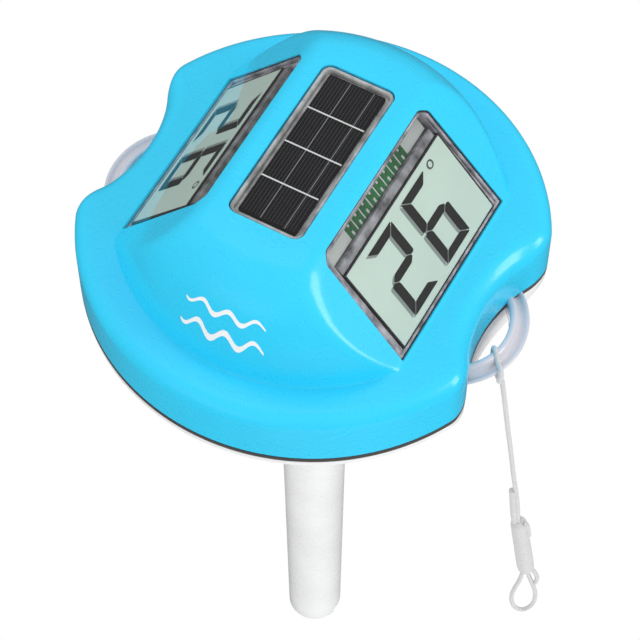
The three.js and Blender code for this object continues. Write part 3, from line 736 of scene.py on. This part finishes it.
# Seven-segment digits: the corner nearest the first segment, in millimetres from the face's corner.
DIGIT_WIDTH = 12.9
DIGIT_HEIGHT = 23.0
DIGIT_STARTS = (8.7, 27.2)
DIGIT_DROP = 2.1
SEGMENT = 2.95
SEGMENT_GAP = 0.18
DIGITS = ("abged", "afgecd")
INK_SHADOW_Y = -1.1
DEGREE_PLACE = (2.9, 43.0)
DEGREE_R = (1.25, 0.95)


def segment_outline(letter):
    """The outline of one segment of a digit, in (down, across) millimetres from the digit's corner."""
    w, h, t, g = DIGIT_WIDTH, DIGIT_HEIGHT, SEGMENT, SEGMENT_GAP
    half = h / 2
    t2 = t * 0.86

    def mirrored(points, down=False, across=False):
        return [(h - y if down else y, w - x if across else x) for y, x in points]

    top = [(0, g), (0, w - g), (t2, w - t - g), (t2, t + g)]
    middle = [
        (half - t2 / 2, t + g), (half - t2 / 2, w - t - g), (half, w - t * 0.45),
        (half + t2 / 2, w - t - g), (half + t2 / 2, t + g), (half, t * 0.45),
    ]
    upright = [(g, 0), (half - g - 0.3, 0), (half - g, t * 0.4), (half - t2 / 2 - g, t), (t2 + g, t)]
    outlines = {
        "a": top,
        "d": mirrored(top, down=True),
        "g": middle,
        "f": upright,
        "b": mirrored(upright, across=True),
        "e": mirrored(upright, down=True),
        "c": mirrored(upright, down=True, across=True),
    }
    return outlines[letter]


def rounded_outline(points, radius):
    result = []
    for i, here in enumerate(points):
        before, after = points[i - 1], points[(i + 1) % len(points)]
        result += rounded_profile([before, here, after], radius, 3)[1:-1]
    return result


def make_ink(name, material, z0, z1, shift_y):
    """The digits and the degree ring as thin raised shapes."""
    bm = bmesh.new()
    for start, letters in zip(DIGIT_STARTS, DIGITS):
        for letter in letters:
            outline = [
                (LCD_X[0] + DIGIT_DROP + down, LCD_Y[0] + start + across + shift_y)
                for down, across in rounded_outline(segment_outline(letter), 0.55)
            ]
            add_prism(bm, outline, z0, z1)
    centre = (LCD_X[0] + DEGREE_PLACE[0], LCD_Y[0] + DEGREE_PLACE[1] + shift_y * 0.3)
    outer, inner = (arc(*centre, r, 0, 2 * math.pi, 32) for r in DEGREE_R)
    add_frame(bm, outer, inner, z0, z1, 0.0)
    return finish_mesh(name, bm, material)


def make_display(side, i):
    place = facet_matrix(i)

    def done(obj, stands_for=(), slot=None):
        keep(put(obj, place), stands_for=stands_for)

    plate = make_prism(f"display_window_{side}_plate", display_outline(-0.25), -0.55, -0.05, CLEAR)
    done(plate, [f"display_window_{side}"], "clear_window")

    bm = bmesh.new()
    add_frame(bm, display_outline(-0.02), display_outline(-0.3), -0.9, -0.4, 0.05)
    done(finish_mesh(f"window_seal_{side}", bm, BEZEL_DARK), slot="clear_window")

    # The skirt under the window's edge is a grey sheet of painted reflection, standing in for the clear
    # window's thick side walls.
    bm = bmesh.new()
    inner = display_outline(-1.15)
    add_frame(bm, display_outline(-0.3), inner, -3.3, -0.6, 0.2)
    done(finish_mesh(f"display_reflection_skirt_{side}", bm, WALL_REFLECTION_GREY), slot="clear_window")

    bm = bmesh.new()
    face = [(LCD_X[1], LCD_Y[1]), (LCD_X[0], LCD_Y[1]), (LCD_X[0], LCD_Y[0]), (LCD_X[1], LCD_Y[0])]
    add_prism(bm, face, LCD_TOP - 2.2, LCD_TOP, 0.05)
    done(finish_mesh(f"lcd_panel_{side}", bm, LCD_FACE), [f"lcd_glass_{side}"], "lcd_glass")

    done(make_ink(f"lcd_shadow_{side}", LCD_SHADOW, LCD_TOP, LCD_TOP + 0.02, INK_SHADOW_Y), slot="lcd_glass")
    done(make_ink(f"lcd_digits_{side}", LCD_INK, LCD_TOP + 0.01, LCD_TOP + 0.06, 0.0), slot="lcd_glass")

    bm = bmesh.new()
    edge = 0.45
    around = [(x + edge * (1 if x > 0 else -1), y + edge * (1 if y > 0 else -1)) for x, y in face]
    add_frame(bm, around, face, LCD_TOP - 2.0, LCD_TOP + 0.05, 0.05)
    done(finish_mesh(f"lcd_edge_{side}", bm, BEZEL_DARK), slot="holder_white")

    make_display_backing(side, done)


def make_display_backing(side, done):
    """The holder round the glass, its grey a painted reflection, the contact strip, and the board with its
    pads.
    """
    bm = bmesh.new()
    outer = [(17.2, 27.9), (-18.9, 26.6), (-18.9, -26.6), (17.2, -27.9)]
    inner = [(LCD_X[1] + 0.5, LCD_Y[1] + 0.5), (-18.3, LCD_Y[1] + 0.5), (-18.3, LCD_Y[0] - 0.5),
             (LCD_X[1] + 0.5, LCD_Y[0] - 0.5)]
    add_frame(bm, outer, inner, -5.0, -1.3, 0.3)
    # The holder's grey is painted reflection of the clear window's side walls, not the holder's own colour.
    holder = finish_mesh(f"display_holder_{side}_frame", bm, WALL_REFLECTION_GREY)
    done(holder, [f"display_holder_{side}"], "holder_white")

    bm = bmesh.new()
    add_prism(bm, [(-11.0, 25.3), (-13.6, 25.3), (-13.6, -25.3), (-11.0, -25.3)], -4.0, -1.25, 0.1)
    strip = finish_mesh(f"display_strip_{side}", bm, STRIP_METAL)
    done(strip, [f"display_connector_{side}"], "holder_white")

    bm = bmesh.new()
    add_prism(bm, rounded_rectangle((-17.6, 18.0), (27.2, 27.2), 1.0), -6.9, -5.4, 0.1)
    ledge = [(-13.9, 25.2), (-18.8, 25.2), (-18.8, -25.2), (-13.9, -25.2)]
    add_prism(bm, ledge, -5.45, -2.6, 0.1)
    board = finish_mesh(f"display_board_{side}_plate", bm, BOARD_PALE)
    done(board, [f"display_board_{side}"], "board_green")

    bm = bmesh.new()
    for k in range(PAD_COUNT):
        y = LCD_Y[0] + PAD_START + PAD_SPACING * k
        for shift in (-1.05, 1.05):
            leg = [(-14.1, y + shift + 0.55), (-18.4, y + shift + 0.55), (-18.4, y + shift - 0.55),
                   (-14.1, y + shift - 0.55)]
            add_prism(bm, leg, -2.65, -2.3)
        bar = [(-15.6, y + 1.2), (-16.8, y + 1.2), (-16.8, y - 1.2), (-15.6, y - 1.2)]
        add_prism(bm, bar, -2.65, -2.28)
    done(finish_mesh(f"display_pads_{side}", bm, BOARD_GREEN), slot="board_green")


for number, side_name in enumerate(("right", "left")):
    make_display(side_name, number)


# ---- Solar window and panel ----

def make_solar():
    plate = make_prism("solar_window_plate", solar_outline(-0.25), SOLAR_TOP - 0.4, SOLAR_TOP + 0.1, CLEAR)
    keep(plate, stands_for=["solar_window"])

    bm = bmesh.new()
    add_frame(bm, solar_outline(-0.3), solar_outline(-1.3), 46.2, SOLAR_TOP - 0.45, 0.25)
    keep(finish_mesh("solar_skirt", bm, BEZEL_PALE))

    bm = bmesh.new()
    add_prism(bm, solar_outline(-1.35), 44.4, 46.9, 0.1)
    keep(finish_mesh("panel_tray_plate", bm, BEZEL_PALE), stands_for=["panel_tray"])

    half_x, half_y, top, foot = 8.45, 24.75, 47.9, 46.95
    bm = bmesh.new()
    panel = rounded_rectangle((-half_x, half_x), (half_y, half_y), 0.4)
    add_prism(bm, panel, foot, top, 0.08)
    keep(finish_mesh("solar_panel_cells", bm, SOLAR_BLACK), stands_for=["solar_panel"])

    def strips(name, material, boxes, height):
        mesh = bmesh.new()
        for x0, x1, y0, y1 in boxes:
            add_prism(mesh, [(x1, y1), (x0, y1), (x0, y0), (x1, y0)], top - 0.02, top + height)
        keep(finish_mesh(name, mesh, material))

    cell = 2 * half_y / 4
    joints = [(-half_x, half_x, y - 0.22, y + 0.22) for y in (-cell, 0.0, cell)]
    strips("solar_joints", SOLAR_LINE, joints, 0.06)
    wires = [(x - 0.09, x + 0.09, -half_y + 0.3, half_y - 0.3) for x in (-2.0, 5.1)]
    strips("solar_wires", SOLAR_WIRE, wires, 0.04)
    fine_x = [-half_x + 0.94 * k for k in range(1, 18)]
    fine = [(x - 0.05, x + 0.05, -half_y + 0.6, half_y - 0.6) for x in fine_x]
    strips("solar_fine_lines", SOLAR_FINE, fine, 0.03)


make_solar()


# ---- Mark on the front slope ----

def make_mark():
    """Two plain waves, laid on the front slope of the cover."""
    bm = bmesh.new()
    samples = 72
    for row in range(2):
        half = 12.0
        radius_mid = 51.2 - 2.7 * row
        rings = []
        for i in range(samples + 1):
            u = -half + 2 * half * i / samples + 0.8
            wave = 0.9 * math.sin(u * 2 * math.pi / 8.0)
            taper = math.sin(math.pi * min(max(i / samples, 0.02), 0.98)) ** 0.35
            ring = []
            for offset, lift in ((0.55, 0.02), (0.55, 0.10), (-0.55, 0.10), (-0.55, 0.02)):
                r = radius_mid - (wave + offset * taper) * 0.62
                angle = math.radians(-90) + u / 50.0
                x, y = r * math.cos(angle), r * math.sin(angle)
                ring.append((x, y - lift * 0.8, cover_height(x, y) + lift * 0.6))
            rings.append(ring)
        add_rings(bm, rings)
    keep(finish_mesh("cover_mark", bm, MARK_WHITE, 60))


make_mark()


# ---- Gasket and lower hull ----

def outline_ring(depth, z, rays=288):
    angles = [2 * math.pi * i / rays for i in range(rays)]
    return [
        (at_depth(a, depth) * math.cos(a), at_depth(a, depth) * math.sin(a), z) for a in angles
    ]


def make_gasket():
    bm = bmesh.new()
    low, high = GASKET
    bulge = [(0.3, low), (0.03, low + 0.2), (0.03, high - 0.15), (0.3, high), (3.0, high), (3.0, low)]
    add_rings(bm, [outline_ring(depth, z) for depth, z in bulge], closed=True)
    keep(finish_mesh("gasket_ring", bm, GASKET_GREY, 60), stands_for=["hull_gasket"])


def hull_rings():
    rays = 288
    angles = [2 * math.pi * i / rays for i in range(rays)]
    bowl = curve_through(BOWL_PROFILE)
    rim = [at_depth(a, 0.2) for a in angles]
    rings = []
    for depth, z in ((2.4, HULL_TOP), (0.6, HULL_TOP), (0.25, HULL_TOP - 0.3)):
        rings.append(outline_ring(depth, z, rays))
    steps = 8
    for k in range(steps + 1):
        t = k / steps
        rings.append([
            (r * math.cos(a), r * math.sin(a), (HULL_TOP - 0.5) * (1 - t) + min(bowl(r), BOWL_RIM_Z) * t)
            for r, a in zip(rim, angles)
        ])
    for k in range(1, 60):
        share = 1 - k / 60
        ring = []
        for r, a in zip(rim, angles):
            here = 0.3 + (r - 0.3) * share
            ring.append((here * math.cos(a), here * math.sin(a), min(bowl(here), BOWL_RIM_Z)))
        rings.append(ring)
    return rings


def drill(name, r, z0, z1, place=(0.0, 0.0), sides=32):
    return make_prism(name, arc(place[0], place[1], r, 0, 2 * math.pi, sides), z0, z1)


def screw_places():
    return [
        (SCREW_CIRCLE_R * math.cos(math.radians(a)), SCREW_CIRCLE_R * math.sin(math.radians(a)))
        for a in SCREW_AZIMUTHS
    ]


def make_hull():
    """The bowl as a solid with pockets for the screws and the button, its collar and its neck."""
    bm = bmesh.new()
    add_rings(bm, hull_rings())
    hull = finish_mesh("hull_shell", bm, HULL_WHITE)
    cutters = [drill(f"pocket_{k}", 3.5, -30, -7.5, place) for k, place in enumerate(screw_places())]
    cutters.append(drill("button_pocket", BUTTON_POCKET_R, -30, -19.6, (0.0, BUTTON_Y)))
    cut(hull, cutters)
    shade(hull, 40)
    keep(hull, stands_for=["lower_hull"])

    bm = bmesh.new()
    seat = arc(0.0, BUTTON_Y, 7.5, 0, 2 * math.pi, 48)
    hole = arc(0.0, BUTTON_Y, BUTTON_POCKET_R, 0, 2 * math.pi, 48)
    add_frame(bm, seat, hole, -22.0, -19.8, 0.0)
    keep(finish_mesh("button_collar", bm, HULL_WHITE))

    bm = bmesh.new()
    neck = [(0, -22), (NECK_R, -22), (NECK_R, -36), (6.2, -36), (6.2, -30), (0, -30)]
    add_lathe(bm, rounded_profile(neck, 0.6))
    keep(finish_mesh("hull_neck", bm, HULL_WHITE))


make_gasket()
make_hull()


# ---- Tether loops ----

def make_loops():
    """A bent band, its inner edge a raised ridge and its outer edge a thin flange."""
    section = rounded_profile([
        (16.0, 0.5), (16.0, -4.9), (18.4, -5.0), (18.6, -3.4), (21.2, -0.9), (21.5, -0.45),
        (21.45, 0.0), (20.8, -0.02), (20.4, -0.3), (19.9, -0.9), (19.0, -0.85), (18.4, 0.2),
        (18.0, 1.3), (17.5, 1.8), (16.6, 1.7), (16.1, 1.3), (16.0, 0.5),
    ], 0.35, 2)[:-1]
    reach = math.radians(57)
    steps = 72
    for i, side in enumerate(("right", "left")):
        bm = bmesh.new()
        rings = []
        for k in range(steps + 1):
            angle = -reach + 2 * reach * k / steps
            rings.append([(LOOP_CENTRE_X + r * math.cos(angle), r * math.sin(angle), z) for r, z in section])
        add_rings(bm, rings)
        # The band's lavender cast is painted reflection; the milky white is its own.
        loop = finish_mesh(f"tether_loop_{side}_band", bm, LOOP_MILKY_VIOLET_REFLECTION, 50)
        put(loop, Matrix.Rotation(i * math.pi, 4, "Z"))
        keep(loop, stands_for=[f"tether_loop_{side}"])


make_loops()


# ---- Screws and button ----

def make_screws():
    profile = [
        (0, 9.8), (0.4, 9.8), (1.25, 8.6), (1.25, -7.8),
        (2.9, -7.8), (2.9, -9.0), (2.2, -9.5), (0, -9.6),
    ]
    cross = [(1.5, 0.3), (-1.5, 0.3), (-1.5, -0.3), (1.5, -0.3)]
    for k, (x, y) in enumerate(screw_places()):
        place = Matrix.Translation((x * MM, y * MM, 0))
        bm = bmesh.new()
        add_lathe(bm, rounded_profile(profile, 0.3), 40)
        screw = put(finish_mesh(f"hull_screw_{k + 1}_body", bm, STEEL), place)
        arms = []
        for turn in (0.0, 90.0):
            arm = make_prism(f"cross_{k}_{turn:.0f}", cross, -11, -8.7)
            arms.append(put(arm, place @ Matrix.Rotation(math.radians(turn + 30), 4, "Z")))
        cut(screw, arms)
        shade(screw, 35)
        keep(screw, stands_for=[f"hull_screw_{k + 1}"])


def make_button():
    bm = bmesh.new()
    low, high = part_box("unit_button")
    foot, top = low[2] / MM, high[2] / MM
    profile = [
        (0, top), (2.2, top), (2.2, foot + 1.8), (5.0, foot + 1.8),
        (5.0, foot + 0.5), (4.4, foot), (3.2, foot + 0.35), (0, foot + 0.45),
    ]
    add_lathe(bm, rounded_profile(profile, 0.35), 64)
    button = put(finish_mesh("unit_button_cap", bm, GASKET_GREY), Matrix.Translation((0, BUTTON_Y * MM, 0)))
    keep(button, "button", ["unit_button"])


make_screws()
make_button()


# ---- Sensor tube and seal ----

def make_tube():
    foot_r = 8.9
    wall = 1.8
    outer = [
        (9.9, -26.7), (13, -26.7), (13, -38), (11, -41), (10.4, -84), (9.7, -127), (8.95, -214),
        (foot_r, TUBE_FOOT), (foot_r - wall, TUBE_FOOT),
    ]
    inner = [
        (foot_r - wall, -212), (3.3, -212), (3.3, -210), (7.15, -210), (7.9, -127),
        (8.6, -84), (9.2, -41), (9.8, -38), (9.8, -26.8),
    ]
    bm = bmesh.new()
    profile = rounded_profile([(9.8, -26.8)] + outer + inner, 1.1)
    profile[-1] = profile[0]
    add_lathe(bm, profile, 96)
    tube = finish_mesh("sensor_tube_wall", bm, HULL_WHITE)
    half = SLOT_WIDTH / 2
    # Stands an outline up: its X becomes the row frame's Z, and its thickness points outward.
    upright = Matrix(((0, 0, 1, 0), (0, -1, 0, 0), (1, 0, 0, 0), (0, 0, 0, 1)))
    cutters = []
    for turn in (0, 180):
        outline = rounded_rectangle((TUBE_FOOT - 6, SLOT_TOP), (half, half), 0.5)
        notch = make_prism(f"foot_notch_{turn}", outline, 0, 12)
        cutters.append(put(notch, Matrix.Rotation(math.radians(SLOT_AZIMUTH + turn), 4, "Z") @ upright))
    cut(tube, cutters)
    shade(tube, 35)
    keep(tube, "probe_tube", ["sensor_tube"])

    bm = bmesh.new()
    for k in range(RIB_COUNT):
        angle = 2 * math.pi * k / RIB_COUNT
        x, y = RIB_CIRCLE_R * math.cos(angle), RIB_CIRCLE_R * math.sin(angle)
        add_tube(bm, [(x, y, -29), (x, y, -29.4), (x, y, -36.2), (x, y, -36.6)], 0.45, 8)
    keep(finish_mesh("tube_grip_ribs", bm, HULL_WHITE, 60), "probe_tube")

    bm = bmesh.new()
    section = [(11.6 + 0.8 * math.cos(2 * math.pi * k / 16), -25.6 + 0.8 * math.sin(2 * math.pi * k / 16))
               for k in range(16)]
    add_lathe(bm, section + section[:1], 96)
    keep(finish_mesh("tube_seal_ring", bm, RUBBER_BLACK, 60), "seal_ring", ["tube_seal"])


make_tube()


# ---- Tether ----

CORD_ROUTE = [(62.9, -7.6, -7.1), (63.3, -7.4, -10.5), (63.8, -7.1, -15.2), (64.9, -6.4, -26.0),
              (65.7, -6.0, -33.7), (66.6, -5.5, -41.5), (67.7, -4.9, -51.8), (68.8, -4.3, -62.2),
              (70.0, -3.6, -72.4), (70.9, -3.1, -81.4), (71.5, -2.8, -89.4)]
SLEEVE_TOP = Vector((71.6, -2.7, -90.1))
SLEEVE_FOOT = Vector((75.6, -0.5, -122.9))
END_LOOP_FOOT = Vector((76.4, 0.0, -152.8))
VIEW_RIGHT = Vector((0.87, 0.49, 0))


def braid(along, around):
    """The relief of a round braid: two sets of strands that wind opposite ways."""
    pitch = 2.6
    depth = 0.07
    turn = 2 * math.pi * along / pitch
    return 1 + depth * abs(math.sin(2 * around + turn)) - depth * abs(math.sin(2 * around - turn))


def strand(name, points, radius=CORD_R, closed=False, step=0.4):
    bm = bmesh.new()
    add_tube(bm, smooth_path(points, step, closed), radius, 16, closed, braid)
    return finish_mesh(name, bm, CORD_WHITE, 80)


def make_tether():
    in_sleeve = [tuple(SLEEVE_TOP.lerp(SLEEVE_FOOT, share)) for share in (0.3, 0.65, 1)]
    through = CORD_ROUTE + in_sleeve
    cord = strand("tether_cord_braid", through)
    keep(cord, stands_for=["tether_cord"])

    inner, outer = Vector((58.5, -4.6, 0)), Vector((62.6, -8.9, 0))
    across = (outer - inner).normalized()
    aside = Vector((-across.y, across.x, 0))

    def beside(reach, shift, z):
        return inner + across * reach + aside * shift + Vector((0, 0, z))

    around = [
        (-0.85, 0.6), (-0.3, 2.2), (0.9, 2.55), (2.0, 1.6), (3.4, 0.3), (5.2, 0.75), (6.4, 0.5),
        (6.9, -1.0), (6.3, -3.6), (4.6, -5.3), (2.6, -5.8), (0.0, -5.75), (-0.85, -4.6), (-0.9, -2.0),
    ]
    wrap = [beside(reach, 0.0, z) for reach, z in around]
    hitch = strand("tether_hitch_wrap_1", wrap, CORD_R, True)
    keep(hitch, stands_for=["tether_hitch"])
    drop = [beside(6.3, -0.2, 0.7), beside(6.95, -0.3, -0.6), beside(6.6, -0.4, -4.0), Vector(CORD_ROUTE[0])]
    keep(strand("tether_hitch_drop", drop))

    along = (SLEEVE_FOOT - SLEEVE_TOP).normalized()
    out = (VIEW_RIGHT - along * VIEW_RIGHT.dot(along)).normalized()
    second = strand("tether_second_strand", [
        SLEEVE_TOP - along * 19.5 - out * 0.4, SLEEVE_TOP - along * 12 - out * 0.75,
        SLEEVE_TOP - along * 5 - out * 1.05, SLEEVE_TOP + along * 1 - out * 1.1,
    ], 1.0)
    keep(second)

    sleeve = make_sleeve(along, out)
    start = SLEEVE_FOOT + along * 0.6

    def at(t, across):
        return start.lerp(END_LOOP_FOOT, t) + out * across * 4.0

    loop = strand("tether_end_loop_braid", [
        at(0, -0.1), at(0.25, -0.45), at(0.6, -0.95), at(0.88, -0.75),
        at(1, 0), at(0.88, 0.75), at(0.6, 0.9), at(0.25, 0.4),
    ], closed=True)
    keep(loop, stands_for=["tether_end_loop"])
    bulge = strand("tether_loop_tail", [
        start - along * 1 + out * 1.5, start + along * 2 + out * 2.4, start + along * 5.5 + out * 3.0,
        start + along * 8.5 + out * 2.6, start + along * 10.5 + out * 1.8,
    ])
    keep(bulge)

    route = smooth_path(through, 0.4)


def make_sleeve(along, out):
    """The whipping that holds the end loop: a slim sleeve with a few raised turns."""
    bm = bmesh.new()
    length = (SLEEVE_FOOT - SLEEVE_TOP).length
    profile = [(0, 0), (1.3, 0), (2.3, 1.2), (2.55, 2.4), (2.55, 6.0), (2.42, 6.4), (2.6, 6.9), (2.6, 11.2),
               (2.45, 11.6), (2.62, 12.1), (2.62, 17), (2.5, 17.4), (2.66, 17.9), (2.7, length - 3),
               (2.5, length - 1.0), (1.4, length), (0, length)]
    add_lathe(bm, rounded_profile(profile, 0.5), 40)
    side = along.cross(out)
    turn = Matrix((out, side, along)).transposed().to_4x4()
    bump = [(1.6, 0.9, 0.6), (2.3, 0.9, 1.2), (2.5, 0.7, 5), (2.4, 0.4, 9.5), (1.6, 0.2, 11)]
    add_tube(bm, smooth_path(bump, 0.6), 0.75, 10)
    sleeve = finish_mesh("tether_sleeve_whipping", bm, CORD_WHITE, 60)
    put(sleeve, Matrix.Translation(SLEEVE_TOP * MM) @ turn)
    return keep(sleeve, stands_for=["tether_sleeve"])


make_tether()


# ---- Finishes of the CAD pieces that stay ----

CAD_FINISHES = {
    "main_board": BOARD_GREEN,
    "controller_chip": CHIP_BLACK,
    "battery_holder": CHIP_BLACK,
    "coin_cell": STEEL,
    "unit_switch": CHIP_BLACK,
    "button_seal": RUBBER_BLACK,
    "solar_lead": WIRE_WHITE,
    "display_cable_right": WIRE_WHITE,
    "display_cable_left": WIRE_WHITE,
    "stem_gland": RUBBER_BLACK,
    "sensor_stem": WIRE_WHITE,
    "sensor_capsule": STEEL,
    "sensor_lead": WIRE_WHITE,
    "ballast_weight": STEEL,
    "board_screw_1": STEEL,
    "board_screw_2": STEEL,
    "board_screw_3": STEEL,
    "board_screw_4": STEEL,
}

for node, finish in CAD_FINISHES.items():
    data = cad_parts[node].data
    data.materials.clear()
    data.materials.append(finish)
